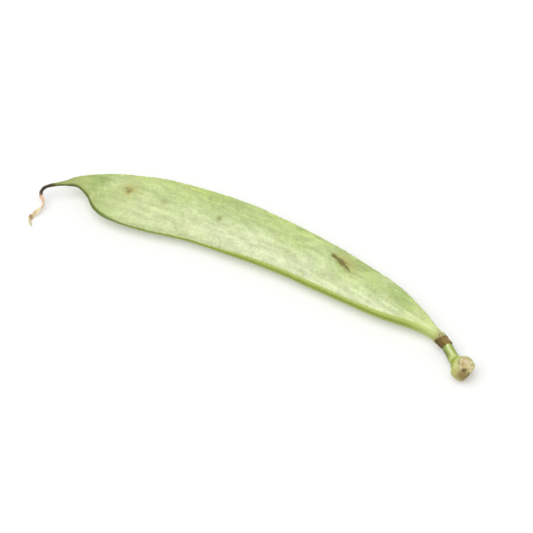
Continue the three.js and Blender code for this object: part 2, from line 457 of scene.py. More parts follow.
def frame_fit():
    """The stretch and the shift that carry the plain form onto the CAD pod's box, in millimetres."""
    rows, columns = FIT_GRID
    plain = pod_rings(even_shares(rows), even_angles(columns), CAD_SEED_BULGE).reshape(-1, 3)
    low, high = (np.array(corner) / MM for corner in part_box("pod"))
    stretch = (high - low) / (plain.max(axis=0) - plain.min(axis=0))
    return stretch, low - plain.min(axis=0) * stretch


STRETCH, SHIFT = frame_fit()


def into_frame(points):
    """Points of the pod's plain form, carried into the frame, in millimetres."""
    return points * STRETCH + SHIFT


POD_TIP, POD_FOOT = into_frame(pod_line(np.array([0.0, 1.0])))


# ---------------------------------------------------------------- the pod's relief


def seam_relief(to_upper, to_lower, grain):
    """The two seams: a cord with a groove on each side, and the shoulder where the face begins.

    The whole seam is sunk a little, so that the cord stands no further out than the plain form.
    """
    upper, lower = hills(to_upper, UPPER_SEAM), hills(to_lower, LOWER_SEAM)
    return upper * (1.0 + 0.15 * grain) + lower * (1.0 + 0.12 * grain)


def wart_relief(points, to_upper, to_lower, height):
    """Rounded grains beside the seams: 1 minus the square of a grain's distance over its reach."""
    nearest, _ = nearest_grains(points, WART_SPACING, 5)
    grain = np.maximum(0.0, 1.0 - (nearest / WART_REACH) ** 2)
    band = smoothstep(3.4, 1.0, to_upper) + 0.45 * smoothstep(2.4, 0.8, to_lower)
    return height * grain * band, grain * band


def vein_pattern(along, out, top):
    """A net of slanting veins: high where the two nearest grains of a stretched lattice are equally far.

    The lattice is turned against the pod's length and drawn out across it, and each face has its own
    part of it.
    """
    other_face = 40.0
    first = along * math.cos(VEIN_LEAN) + out * math.sin(VEIN_LEAN)
    second = out * math.cos(VEIN_LEAN) - along * math.sin(VEIN_LEAN)
    third = np.where(top, 0.0, other_face)
    flat = np.stack([first / VEIN_MESH[0], second / VEIN_MESH[1], third], axis=-1)
    wobble = soft_noise(flat, 0.6, 21)[..., None] * (0.16, 0.16, 0.0)
    nearest, second_nearest = nearest_grains(flat + wobble, 1.0, 9)
    return hump(second_nearest - nearest, 0.0, VEIN_WIDTH)


def streak_noise(along, out, top, length, width, seed):
    """Noise drawn out into streaks along the pod. Each face has its own part of it."""
    other_face = 30.0
    return soft_noise(np.stack([along / length, out / width, top * other_face], axis=-1), 1.0, seed)


def scratch_pattern(along, out, top, noise):
    """The long scar on the upper face: a soft dark stroke, fine scrapes beside it, and healed skin.

    The stroke is a hump across a line. It is widest in its middle and at its near end, and its far
    end bends down and fades.
    """
    x, y = along - SCRATCH_PLACE[0], out - SCRATCH_PLACE[1]
    run = x * math.cos(SCRATCH_TURN) + y * math.sin(SCRATCH_TURN)
    beside = y * math.cos(SCRATCH_TURN) - x * math.sin(SCRATCH_TURN)
    beside = beside + 0.05 * np.maximum(run, 0.0) ** 2 + 0.1 * np.sin(1.7 * run)
    ends = smoothstep(4.9, 3.0, np.abs(run - 0.1)) * top
    width = 0.5 + 0.46 * hump(run, 0.0, 1.8) + 0.24 * hump(run, -3.2, 0.9)
    fade = 1.0 - 0.25 * smoothstep(1.2, 3.4, run)
    stroke = hump(beside, 0.0, width) * ends * fade * np.clip(0.9 + 0.3 * noise, 0.7, 1.0)
    scrapes = hump(beside, 1.1, 0.2) * smoothstep(-0.5, 0.8, run) + hump(beside, -0.95, 0.18)
    scrapes = scrapes * ends * np.clip(0.5 + 0.9 * noise, 0.0, 1.0)
    healed = hump(np.hypot((run - 0.9) / 4.2, (beside - 1.2) / 1.9), 0.0, 1.0) * top
    return stroke, scrapes, healed


def stain_pattern(along, out, top, noise, stains):
    """Soft stains on the upper face: the highest of some uneven humps."""
    pattern = np.zeros_like(along)
    for place, height, long, wide, strength in stains:
        distance = np.hypot((along - place) / long, (out - height) / wide) + 0.2 * noise
        pattern = np.maximum(pattern, strength * hump(distance, 0.0, 1.0))
    return pattern * top


def star_pattern(along, out, top, noise):
    """The small blotched scar: a hump with four uneven arms, and a blotched halo."""
    x, y = along - STAR_PLACE[0], out - STAR_PLACE[1]
    distance, way = np.hypot(x, y), np.arctan2(y, x)
    reach = STAR_REACH
    for direction, further in STAR_ARMS:
        reach = reach + further * hump(wrapped(way - math.radians(direction)), 0.0, 0.5)
    halo = hump(distance, 0.0, 3.4) * np.clip(0.6 + 0.6 * noise, 0.0, 1.0)
    return hump(distance / reach, 0.0, 0.85) * top, halo * top


def edge_values(share, below):
    """Patterns that follow the lower edge, from the share of the pod's length and the distance below it.

    Below is the distance from the lower seam, and is negative on the upper face. The flank's colour,
    partly painted shade, covers the lower face and runs up onto the upper one, wider from the beak to
    the stalk. The beak's seam is dry and dark, and wider on the upper face a little way from the tip.
    """
    reach = 0.2 + 1.3 * smoothstep(0.3, 0.55, share) + 0.35 * smoothstep(0.75, 0.95, share)
    line = below - 0.1 + 0.35 * smoothstep(0.35, 0.55, share)
    width = np.where(below > 0, 1.0, 1.0 + 1.3 * hump(share, 0.085, 0.06))
    dark = smoothstep(0.66, 0.24, np.abs(below) / width) * smoothstep(0.26, 0.08, share)
    return {"along": share, "below": below, "flank": below + reach, "line": line, "dark": dark}


def close_ends(rings):
    """Draws the first and the last ring in towards their middles, inside the dry organs there."""
    for end in (0, -1):
        middle = rings[end].mean(axis=0)
        rings[end] = middle + (rings[end] - middle) * END_OPENING
    return rings


def pod_surface(look):
    """The pod's rings with all its relief, and the patterns that its colours follow."""
    rows, columns = POD_GRID
    share, even = even_shares(rows), even_angles(columns)
    angle = even - CROWDING * np.sin(2.0 * even)
    plain = pod_rings(share, angle, look.seed_bulge / MM)
    travelled, whole = lengths_around(plain)
    lower_seam = travelled[:, columns // 2, None]
    to_upper, to_lower = np.minimum(travelled, whole - travelled), np.abs(travelled - lower_seam)
    top = np.broadcast_to(np.sin(angle) > 0.0, plain.shape[:2])
    across = np.broadcast_to(np.cos(angle), plain.shape[:2])
    along = np.broadcast_to(pod_line(share)[:, :1], plain.shape[:2])
    half_widths = smooth_curve(POD_SHAPE[:, [2, 3]] * POD_WIDTH, share)
    out = across * np.where(across > 0, half_widths[:, :1], half_widths[:, 1:])
    body = pod_ends(share)[:, None]
    face = smoothstep(1.4, 3.4, np.minimum(to_upper, to_lower)) * body

    grain = soft_noise(plain, 0.9, 3)
    wart_height, wart = wart_relief(plain, to_upper, to_lower, look.wart_height / MM)
    vein = vein_pattern(along, out, top) * face
    stroke, scrapes, healed = scratch_pattern(along, out, top, grain)
    star, star_halo = star_pattern(along, out, top, grain)
    seams = seam_relief(to_upper, to_lower, grain) * look.seam_height / MM
    rolling = layered_noise(plain, ((0.16, 9.0, 1), (0.06, 3.6, 2)))
    dimples = 0.022 * grain + 0.016 * soft_noise(plain, 0.45, 4)
    streaks = 0.05 * streak_noise(along, out, top, 9.0, 0.9, 6)
    wrinkles = 0.07 * np.sin(9.0 * angle + 2.0 * soft_noise(plain, 4.0, 7)) * (1.0 - body)
    relief = body * (seams + wart_height + rolling + face * streaks) + dimples + 0.4 * wrinkles
    relief = relief + vein * look.vein_height / MM
    relief = relief - 0.2 * stroke - 0.05 * scrapes - 0.12 * star + 0.05 * healed
    taper = smoothstep(0.0, 0.02, share)[:, None] * smoothstep(0.0, 0.02, 1.0 - share)[:, None]
    rings = close_ends(into_frame(plain + outward(plain) * (relief * taper)[..., None]))
    rings[..., 2] = np.maximum(rings[..., 2], 0.0)

    values = edge_values(along / POD_LENGTH + 0.5, np.where(top, -to_lower, to_lower))
    values.update(across=across, to_upper=to_upper, wart=wart * body, vein=vein)
    values.update(stroke=stroke, scrapes=scrapes, healed=healed, star=star, star_halo=star_halo)
    values["streak"] = face * streak_noise(along, out, top, 7.0, 0.55, 8)
    for name, stains in STAINS.items():
        values[name] = stain_pattern(along, out, top, grain, stains)
    return rings, values


# ---------------------------------------------------------------- the dry organs

# Rings along each organ, and points round each ring.
STYLE_GRID = (120, 36)
FLOWER_GRID = (150, 44)
CALYX_GRID = (96, 132)
STALK_GRID = (90, 72)
KNOB_GRID = (200, 180)

# The thread's line as offsets from the pod's tip. It starts inside the beak, where it is hidden for so
# many millimetres.
STYLE_LINE = np.array(
    [
        (0.9, 0.7, 0.0),
        (0.0, 0.0, 0.0),
        (-1.45, -1.2, 0.1),
        (-3.1, -2.6, 0.0),
        (-4.35, -3.75, -0.35),
        (-4.75, -5.0, -1.0),
        (-4.4, -5.9, -1.75),
    ]
)
STYLE_HIDDEN = 1.14
# The withered flower's line as offsets from the thread's end.
FLOWER_LINE = np.array(
    [
        (-0.3, 0.7, 0.4),
        (0.0, 0.0, 0.0),
        (0.75, -0.35, -0.3),
        (1.7, -1.8, -0.95),
        (1.1, -4.8, -1.5),
        (0.6, -7.0, -1.75),
        (2.1, -8.9, -1.82),
    ]
)


def ripple(angle, count, seed, size, points):
    """A ripple round a ring whose waves wander along the organ."""
    return np.sin(count * angle + 2.5 * soft_noise(points, size, seed))


def style_surface():
    """The dried thread: it starts inside the beak's tip, thins, hooks down, and is lightly ribbed.

    Its dark side is the one that carries on the beak's lower seam, and further out it is dark all
    round.
    """
    rows, columns = STYLE_GRID
    route = Route(POD_TIP + STYLE_LINE)
    distance = np.linspace(0.0, route.length, rows)
    angle = even_angles(columns)
    share = (distance / route.length)[:, None]
    gone = distance[:, None] - STYLE_HIDDEN
    radius = 0.42 + 0.37 * np.exp(-np.maximum(gone, -0.25) / 1.5)
    radius = radius - 0.3 * smoothstep(-0.25, -STYLE_HIDDEN, gone) + 0.07 * hump(share, 0.94, 0.05)
    radius = radius * smoothstep(-0.02, 0.03, 1.0 - share)
    height = radius * (0.86 + 0.14 * smoothstep(0.0, 2.0, gone))
    plain = carry(route, distance, radius * np.cos(angle), height * np.sin(angle))
    knots = 0.05 * soft_noise(plain, 0.7, 31) + 0.03 * ripple(angle, 5, 32, 1.2, plain)
    rings = plain + outward(plain) * (knots * radius / 0.5 * smoothstep(-0.2, 1.0, gone))[..., None]
    seam = radius * np.abs(wrapped(angle))
    edge = 0.45 + 2.6 * smoothstep(0.36, 0.7, share) + 0.15 * soft_noise(plain, 1.0, 33)
    soft = 0.21 + 0.35 * smoothstep(0.15, 0.5, share)
    return rings, {"along": share, "dark": smoothstep(edge + soft, edge - soft, seam)}


def flower_surface(start):
    """The withered flower: a strip half rolled on itself, pinched, twisted and ragged at its end.

    Its section is a thin oval bent into a shallow trough, which turns as it goes down.
    """
    rows, columns = FLOWER_GRID
    route = Route(start + FLOWER_LINE)
    distance = np.linspace(0.0, route.length, rows)
    share = (distance / route.length)[:, None]
    angle = even_angles(columns)
    wave = soft_noise(share[..., None] * (9.0, 0.0, 0.0), 1.0, 41)
    width = 0.6 + 0.16 * hump(share, 0.45, 0.2) + 0.14 * hump(share, 0.8, 0.13) + 0.1 * wave
    width = width * smoothstep(-0.02, 0.06, 1.0 - share) * smoothstep(-0.03, 0.1, share)
    out = width * np.cos(angle)
    height = 0.2 * np.sin(angle) + 0.45 * out**2 - 0.06
    turn = 1.1 * np.sin(5.0 * share + 0.4)
    level = out * np.cos(turn) - height * np.sin(turn)
    rise = out * np.sin(turn) + height * np.cos(turn)
    plain = carry(route, distance, level, rise)
    crumple = layered_noise(plain, ((0.09, 0.8, 42), (0.05, 0.35, 43)))
    rings = plain + outward(plain) * crumple[..., None]
    rings[..., 2] = np.maximum(rings[..., 2], 0.02)
    return rings, {"along": share, "fold": crumple / 0.1}


# The calyx: its length from the pod's foot, its turn about the vertical against the pod's end there, and
# its slope as rise over run. The pod's end is taken from this share of its shape on.
CALYX_LENGTH = 3.1
CALYX_TURN = math.radians(-5.0)
CALYX_SLOPE = -0.14
POD_END_SHARE = 0.985
# How far inside the organ before them the calyx's axis and the stalk's line start, and how far the stalk
# runs on inside the knob, both in millimetres.
HIDDEN_START = 2.0
HIDDEN_END = 1.5
# The calyx's profile as places along its axis and radii: out to the wall, up to the lip, down inside.
CALYX_OUTLINE = (
    (3.25, 0.95),
    (3.04, 1.24),
    (2.6, 1.45),
    (1.9, 1.6),
    (1.1, 1.64),
    (0.35, 1.62),
    (-0.25, 1.68),
    (-0.24, 1.56),
    (0.1, 1.46),
    (0.3, 1.1),
    (0.35, 0.05),
)

# The knob: where the stalk meets it, from its box's middle; which way its scar faces; its outline from
# the back to the scar's middle, as distances along that way and from that axis; the bulb's place; and
# half the length of the line that carries its rings.
STALK_MEETS = np.array([-3.18, 1.77, -0.44])
SCAR_FACING = np.array([0.458, 0.0, 0.889])
KNOB_OUTLINE = (
    (-2.95, 0.02),
    (-2.6, 1.5),
    (-1.85, 2.42),
    (-0.85, 2.95),
    (0.25, 3.1),
    (1.15, 2.98),
    (1.75, 2.7),
    (2.0, 2.4),
    (1.84, 2.06),
    (1.7, 1.5),
    (1.76, 0.8),
    (1.8, 0.02),
)
BULB_SHIFT = np.array([-0.28, 0.03, 0.08])
KNOB_HALF_AXIS = 4.0
# Directions from the knob's middle to the side that is brown, partly as painted shade, to the flattened
# and fuller sides, and to the side with painted shade in the stalk's green, and how far the bulb is drawn
# out to the stalk.
BROWN_AND_SHADED_SIDE = np.array([0.55, -0.81, 0.2])
FLAT_SIDE = np.array([0.9, -0.07, -0.42])
FULL_SIDE = np.array([-0.22, -0.83, -0.51])
SHADED_GREEN_SIDE = np.array([-0.94, -0.09, 0.32])
NECK_FLARE = 1.0


def turned_aside(direction, turn, slope):
    """A direction turned about the vertical, with a new slope."""
    level = unit(direction * (1.0, 1.0, 0.0))
    x = level[0] * math.cos(turn) - level[1] * math.sin(turn)
    y = level[0] * math.sin(turn) + level[1] * math.cos(turn)
    return unit(np.array([x, y, slope]))


def stalk_routes():
    """The calyx's axis, the stalk's line, how far along that the knob begins, and the bulb's middle.

    The axis starts inside the pod's foot. The stalk's line starts inside the calyx and runs into the
    knob as far as its middle.
    """
    before = into_frame(pod_line(np.array([POD_END_SHARE])))[0]
    ahead = turned_aside(POD_FOOT - before, CALYX_TURN, CALYX_SLOPE)
    axis = Route([POD_FOOT - ahead * HIDDEN_START, POD_FOOT, POD_FOOT + ahead * HIDDEN_START])
    low, high = (np.array(corner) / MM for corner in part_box("stem_knob"))
    meets, middle = (low + high) / 2 + STALK_MEETS, (low + high) / 2 + BULB_SHIFT
    collar = POD_FOOT + ahead * CALYX_LENGTH
    run = unit(meets - collar)
    line = Route([collar - run * HIDDEN_START, collar, (collar + meets) / 2, meets, middle])
    nearest = np.argmin(np.linalg.norm(line.points - meets, axis=1))
    return axis, line, line.travelled[nearest], middle


def follow(points, count):
    """A profile's place and radius at evenly numbered steps of a smooth curve through its points."""
    return smooth_curve(points, np.linspace(0.0, 1.0, count)).T


def calyx_surface(axis):
    """The dry collar: a cup whose wall runs out over its lip and back inside.

    The profile goes from the stalk out to the wall, up to the lip, and down the inner wall to the
    pod's foot. The lip is uneven: five short teeth, a tear, and small waves. On its far side the cup
    is longer, and the pale band along its lip is broader.
    """
    rows, columns = CALYX_GRID
    angle = even_angles(columns)
    place, radius = (row[:, None] for row in follow(CALYX_OUTLINE, rows))
    profile = np.linspace(0.0, 1.0, rows)[:, None]
    lip = hump(profile, 0.65, 0.13)
    outside = smoothstep(0.72, 0.62, profile)
    teeth = np.abs(np.cos(2.5 * angle + 0.6)) ** 1.4
    tear = hump(wrapped(angle - 4.4), 0.0, 0.24)
    fray = soft_noise(np.stack([np.cos(angle), np.sin(angle), 0.0 * angle], axis=-1), 0.28, 54)
    far_side = 0.5 + 0.5 * np.cos(angle - 0.5)
    place = place + 0.15 * far_side * np.maximum(place, 0.0)
    place = place + lip * (0.25 - 0.5 * teeth + 0.5 * tear + 0.22 * fray)
    pale = smoothstep(0.95 * far_side, 0.95 * far_side - 0.5, place)
    radius = radius + lip * (0.06 * teeth - 0.03 + 0.08 * fray)
    frames = axis.at(HIDDEN_START + place.reshape(-1))
    centre, side, up = (grid.reshape(rows, columns, 3) for grid in frames)
    plain = centre + radius[..., None] * (np.cos(angle)[:, None] * side + np.sin(angle)[:, None] * up)
    ridges = 0.1 * ripple(angle, 11, 51, 1.4, plain) + 0.12 * soft_noise(plain, 1.0, 52)
    ridges = ridges + 0.06 * soft_noise(plain, 0.4, 53)
    rings = plain + outward(plain) * (ridges * outside * smoothstep(0.0, 0.1, profile))[..., None]
    return rings, {"profile": profile, "ridge": ridges / 0.2, "shade": np.cos(angle - 3.5), "pale": pale}


def stalk_surface(line, meets):
    """The green stalk: a rod with five shallow furrows that ends inside the knob.

    It thickens towards the knob, and swells on its shaded side.
    """
    rows, columns = STALK_GRID
    end = meets + HIDDEN_END
    distance = np.linspace(0.0, end, rows)
    angle = even_angles(columns)
    share = (distance / end)[:, None]
    radius = 1.05 + 0.22 * smoothstep(0.12, 0.3, share) + 0.12 * smoothstep(0.55, 0.85, share)
    plain = carry(line, distance, radius * np.cos(angle), radius * np.sin(angle))
    # Where the painted highlight runs along the stalk's top, and the side that gets painted shade.
    painted_highlight = hump(wrapped(angle - 1.85 - 0.25 * soft_noise(plain, 2.0, 63)), 0.0, 0.4)
    shade = hump(wrapped(angle + 2.8), 0.0, 1.2)
    furrows = 0.055 * ripple(angle, 5, 61, 3.0, plain) + 0.03 * soft_noise(plain, 0.6, 62)
    swell = 0.42 * shade * smoothstep(0.12, 0.34, share) * smoothstep(1.0, 0.8, share)
    rings = plain + outward(plain) * (furrows + swell)[..., None]
    return rings, {"along": share, "painted_highlight": painted_highlight, "shade": shade}


def knob_surface(middle):
    """The swollen knob: a lobed bulb round the scar's axis, flared where the stalk meets it.

    Its rings run from the back, over the bulb and the scar's raised rim, to the scar's middle. Lobes
    are slow waves round it. The scar is a bed of fine noise with a mound, a pit and a short furrow.
    One side of the bulb is flattened, and another is fuller.
    """
    rows, columns = KNOB_GRID
    facing = unit(SCAR_FACING) * KNOB_HALF_AXIS
    axis = Route([middle - facing, middle, middle + facing])
    angle = even_angles(columns)
    reach, radius = follow(KNOB_OUTLINE, rows)
    radius = radius[:, None]
    profile = np.linspace(0.0, 1.0, rows)[:, None]
    out, rise = radius * np.cos(angle), radius * np.sin(angle)
    plain = carry(axis, KNOB_HALF_AXIS + reach, out, rise)
    rim = hump(profile, 0.635, 0.05)
    scar = smoothstep(0.62, 0.72, profile + 0.03 * soft_noise(plain, 0.8, 76))
    lobes = 0.07 * np.cos(3.0 * angle + 0.8) + 0.06 * np.cos(5.0 * angle - 1.0)
    rough = layered_noise(plain, ((0.13, 1.5, 71), (0.07, 0.6, 72)))
    fibres = layered_noise(plain, ((0.6, 0.7, 74), (0.4, 0.33, 75)))
    pit = hump(np.hypot((out + 1.4) / 0.85, (rise + 1.1 + 0.35 * out) / 0.55), 0.0, 1.0)
    pit = pit * scar * np.clip(0.85 + 0.9 * fibres, 0.2, 1.0)
    furrow = hump(np.hypot((out + 0.2) / 0.95, (rise - 0.8 - 0.35 * out) / 0.24), 0.0, 1.0) * scar
    mound = hump(np.hypot(out - 1.25, rise - 0.3), 0.0, 0.85) * scar
    relief = lobes * (1.0 - scar) + rough * (1.0 - 0.4 * scar) + rim * (0.05 + 0.16 * fibres)
    relief = relief + scar * 0.16 * fibres - 0.3 * pit - 0.15 * furrow + 0.22 * mound
    relief = relief - 0.16 * rim * hump(wrapped(angle - 2.9), 0.0, 0.35)
    relief = relief + 0.1 * rim * soft_noise(plain, 1.1, 77)
    rings = plain + outward(plain) * (relief * smoothstep(0.0, 0.5, radius))[..., None]
    away = unit(rings - middle)
    apart = np.arccos(np.clip(away @ unit(STALK_MEETS), -1.0, 1.0))
    swell = NECK_FLARE * hump(apart, 0.0, 0.55) - 0.6 * hump(away @ FLAT_SIDE, 1.0, 0.2)
    swell = swell + 0.35 * hump(away @ FULL_SIDE, 1.0, 0.2)
    rings = rings + away * swell[..., None]
    rings[..., 2] = np.maximum(rings[..., 2], 0.0)
    # Brown on the lower right is partly painted shade. The green on the upper left beside the stalk is
    # painted shade.
    brown = smoothstep(0.72, 0.97, away @ BROWN_AND_SHADED_SIDE + 0.12 * fibres)
    green = smoothstep(0.72, 0.97, away @ SHADED_GREEN_SIDE)
    values = {"profile": profile, "rim": rim, "scar": scar, "pit": pit, "furrow": furrow}
    values.update(mound=mound, brown=brown, green=green, neck=hump(apart, 0.0, 1.5), fibre=fibres)
    return rings, values


# ---------------------------------------------------------------- finishes


def paint(red, green, blue):
    """A colour given in steps of 0 to 255, as the linear values that a shader reads."""
    steps = np.array([red, green, blue]) / 255.0
    linear = np.where(steps <= 0.04045, steps / 12.92, ((steps + 0.055) / 1.055) ** 2.4)
    return tuple(float(value) for value in linear)


class Finish:
    """A material under construction: short calls that add shader nodes and join them.

    It starts from one colour, and layers are laid over that.
    """

    def __init__(self, name, ground, roughness, specular):
        self.material = bpy.data.materials.new(name)
        self.material.use_nodes = True
        self.tree = self.material.node_tree
        self.shader = self.tree.nodes["Principled BSDF"]
        self.shader.inputs["Roughness"].default_value = roughness
        self.shader.inputs["Specular IOR Level"].default_value = specular
        coordinates = self.tree.nodes.new("ShaderNodeTexCoord")
        self.place = coordinates.outputs["Object"]
        self.surface = coordinates.outputs["UV"]
        self.colour = ground
        self.patterns = {}

    def join(self, value, socket):
        """Links a socket to another one, or sets it to a number or a colour."""
        if isinstance(value, bpy.types.NodeSocket):
            self.tree.links.new(value, socket)
        elif isinstance(value, float):
            socket.default_value = value
        else:
            socket.default_value = (*value, 1.0)

    def mapped(self, stretch, source=None):
        """Coordinates in millimetres, drawn out along each axis by that stretch."""
        node = self.tree.nodes.new("ShaderNodeMapping")
        self.join(source or self.place, node.inputs["Vector"])
        node.inputs["Scale"].default_value = [1.0 / (MM * amount) for amount in stretch]
        return node.outputs["Vector"]

    def noise(self, size, detail, source=None):
        """Noise from 0 to 1 whose hills are about one size, in millimetres, apart."""
        node = self.tree.nodes.new("ShaderNodeTexNoise")
        sizes = size if isinstance(size, tuple) else (size, size, size)
        self.join(self.mapped(sizes, source), node.inputs["Vector"])
        node.inputs["Scale"].default_value = 1.0
        node.inputs["Detail"].default_value = detail
        return node.outputs["Fac"]

    def cells(self, sizes):
        """Distance to the nearest of scattered points that lie about those sizes apart."""
        node = self.tree.nodes.new("ShaderNodeTexVoronoi")
        self.join(self.mapped(sizes), node.inputs["Vector"])
        node.inputs["Scale"].default_value = 1.0
        return node.outputs["Distance"]

    def value(self, name):
        """A pattern that the mesh carries as an attribute, read by one node however often it is used."""
        if name not in self.patterns:
            node = self.tree.nodes.new("ShaderNodeAttribute")
            node.attribute_name = name
            self.patterns[name] = node.outputs["Fac"]
        return self.patterns[name]

    def math(self, operation, first, second=0.0, third=0.0):
        """What the named operation makes of one, two or three numbers."""
        node = self.tree.nodes.new("ShaderNodeMath")
        node.operation = operation
        for socket, number in zip(node.inputs, (first, second, third)):
            self.join(number, socket)
        return node.outputs[0]

    def times(self, first, second):
        """The product of two numbers."""
        return self.math("MULTIPLY", first, second)

    def step(self, value, low, high, start=0.0, end=1.0):
        """Turns low into start and high into end along a smooth step, and holds outside them."""
        node = self.tree.nodes.new("ShaderNodeMapRange")
        node.interpolation_type = "SMOOTHSTEP"
        for socket, number in zip(node.inputs, (value, low, high, start, end)):
            self.join(number, socket)
        return node.outputs[0]

    def mix(self, share, first, second, blend="MIX"):
        """The first colour where share is 0 and the second where it is 1."""
        node = self.tree.nodes.new("ShaderNodeMix")
        node.data_type = "RGBA"
        node.blend_type = blend
        self.join(share, node.inputs["Factor"])
        self.join(first, node.inputs[6])
        self.join(second, node.inputs[7])
        return node.outputs[2]

    def lay(self, tint, share, blend="MIX"):
        """Lays a tint over the colour so far, as strongly as share says."""
        self.colour = self.mix(share, self.colour, tint, blend)

    def bump(self, height, depth, below=None):
        """Fine relief of that depth, in millimetres, on top of a relief that is already there."""
        node = self.tree.nodes.new("ShaderNodeBump")
        node.inputs["Distance"].default_value = depth * MM
        self.join(height, node.inputs["Height"])
        if below is not None:
            self.join(below, node.inputs["Normal"])
        return node.outputs["Normal"]

    def finish(self, normal, roughness=None):
        """Gives the shader its colour and its fine relief, and returns the material."""
        self.join(self.colour, self.shader.inputs["Base Color"])
        self.join(normal, self.shader.inputs["Normal"])
        if roughness is not None:
            self.join(roughness, self.shader.inputs["Roughness"])
        return self.material


def pod_finish(look):
    """Fresh skin under a mottled waxy bloom: greener at the seed seam and the beak, paler elsewhere,
    partly by painted light and shade.
    """
    skin = Finish("fresh_pod_skin", look.seed_side, 0.5, 0.35)
    patches, clouds = skin.noise(8.0, 3.0), skin.noise(2.6, 3.0)
    mottle, grain = skin.noise(1.1, 3.0), skin.noise(0.42, 2.0)
    # Place runs from the lower seam to the upper one through soft patches. Its shift towards the stalk
    # spreads the darker upper colour lower there, as painted shade.
    place = skin.math("ADD", skin.value("across"), skin.math("MULTIPLY_ADD", patches, 1.0, -0.5))
    place = skin.math("ADD", place, skin.step(skin.value("along"), 0.5, 0.75, 0.0, 0.25))
    lay_greens(skin, look, place, patches)
    lay_bloom(skin, look, place, clouds, mottle, grain)
    lay_stains(skin, look)
    lay_edges(skin, look)
    lay_ends(skin, look)
    lay_scars(skin, look, clouds, mottle)
    normal = skin.bump(mottle, 0.04, skin.bump(grain, 0.03))
    return skin.finish(normal, skin.step(clouds, 0.3, 0.7, 0.44, 0.6))


def lay_greens(skin, look, place, patches):
    """The greens across the pod and along it, partly painted light and shade, with tan and yellow-green
    areas.
    """
    along = skin.value("along")
    # The pale back side is partly the skin's own tone and partly painted light: the lower half is painted
    # lighter and the upper half darker.
    skin.lay(look.back_side, skin.step(place, 0.6, -0.7))
    skin.lay(look.belly, skin.step(along, 0.48, 0.2, 0.0, 0.6))
    # The beak's third: its own olive tone, darkened further as painted shade.
    skin.lay(look.beak, skin.step(along, 0.2, 0.06, 0.0, 0.95))
    skin.lay(look.foot, skin.step(along, 0.84, 0.96, 0.0, 0.8))
    skin.lay(look.blush, skin.step(skin.noise(4.5, 3.0), 0.54, 0.68, 0.0, 0.3))
    sunny = skin.step(skin.value("to_upper"), 8.0, 1.5)
    skin.lay(look.sunny, skin.times(sunny, skin.step(patches, 0.4, 0.6, 0.0, 0.75)))


def lay_bloom(skin, look, place, clouds, mottle, grain):
    """The bloom in clouds and streaks, thinner and greener at the beak, stronger low down as painted
    light, and the mottle in it.
    """
    along = skin.value("along")
    thin = skin.step(along, 0.15, 0.55, 0.35, 1.0)
    wax = skin.mix(skin.step(along, 0.12, 0.42), look.beak_bloom, look.bloom)
    # The bloom is stronger on the lower half and streaked there: the pod's own wax, partly painted light.
    bloom = skin.times(skin.step(clouds, 0.4, 0.66), skin.step(place, 0.6, -0.6, 0.1, 0.5))
    skin.lay(wax, skin.times(bloom, thin))
    lower_part = skin.step(skin.value("below"), -8.0, -3.0)
    streak = skin.times(skin.step(skin.value("streak"), 0.0, 0.7), lower_part)
    skin.lay(wax, skin.times(skin.times(streak, thin), 0.4))
    skin.lay(look.deep_green, skin.step(mottle, 0.48, 0.72, 0.0, 0.35))
    skin.lay(wax, skin.step(mottle, 0.46, 0.28, 0.0, 0.3))
    skin.lay(look.deep_green, skin.step(grain, 0.5, 0.75, 0.0, 0.25))


def lay_stains(skin, look):
    """The large stains, the tip's tint, the veins, and light and dark shades in clouds and streaks."""
    skin.lay(look.pale_stain, skin.value("pale_stain"))
    skin.lay(look.green_stain, skin.value("green_stain"))
    skin.lay(look.tip, skin.step(skin.value("along"), 0.075, 0.035, 0.0, 0.5))
    skin.lay(look.vein, skin.times(skin.value("vein"), 0.12))
    shade = skin.step(skin.noise((4.0, 2.0, 3.0), 2.0), 0.34, 0.66, 0.9, 1.07)
    shade = skin.times(shade, skin.step(skin.noise(0.62, 3.0), 0.34, 0.66, 0.93, 1.05))
    shade = skin.times(shade, skin.step(skin.value("streak"), -0.6, 0.6, 0.94, 1.05))
    skin.lay(shade, 1.0, "MULTIPLY")


def lay_edges(skin, look):
    """The underside and blunt lower edge with painted shade, its line and cord, the pale foot, the rim
    and the warts.
    """
    along = skin.value("along")
    # The flank: the edge's own green, darkened as painted shade on the lower edge.
    skin.lay(look.flank, skin.step(skin.value("flank"), -0.15, 0.15, 0.0, 0.9))
    from_line = skin.math("ABSOLUTE", skin.value("line"))
    skin.lay(look.border, skin.step(from_line, 0.75, 0.2, 0.0, 0.85))
    # The cord's colour is also darkened as painted shade.
    from_cord = skin.math("ABSOLUTE", skin.math("SUBTRACT", skin.value("below"), 1.1))
    cord = skin.times(skin.step(from_cord, 0.7, 0.2, 0.0, 0.7), skin.step(along, 0.3, 0.5))
    skin.lay(look.cord, cord)
    skin.lay(look.foot, skin.step(along, 0.91, 0.98, 0.0, 0.45))
    skin.lay(look.rim, skin.step(skin.value("to_upper"), 2.0, 0.9, 0.0, 0.6))
    skin.lay(look.wart, skin.times(skin.value("wart"), 0.35))


def lay_ends(skin, look):
    """The beak's tip, the dark line along the beak's lower seam, and the dry skin at the calyx."""
    along = skin.value("along")
    skin.lay(look.tip, skin.step(along, 0.05, 0.0))
    seam = skin.mix(skin.step(along, 0.0, 0.04), look.dry_seam, look.green_seam)
    skin.lay(seam, skin.value("dark"))
    skin.lay(look.dry_foot, skin.step(along, 0.98, 1.0, 0.0, 0.6))


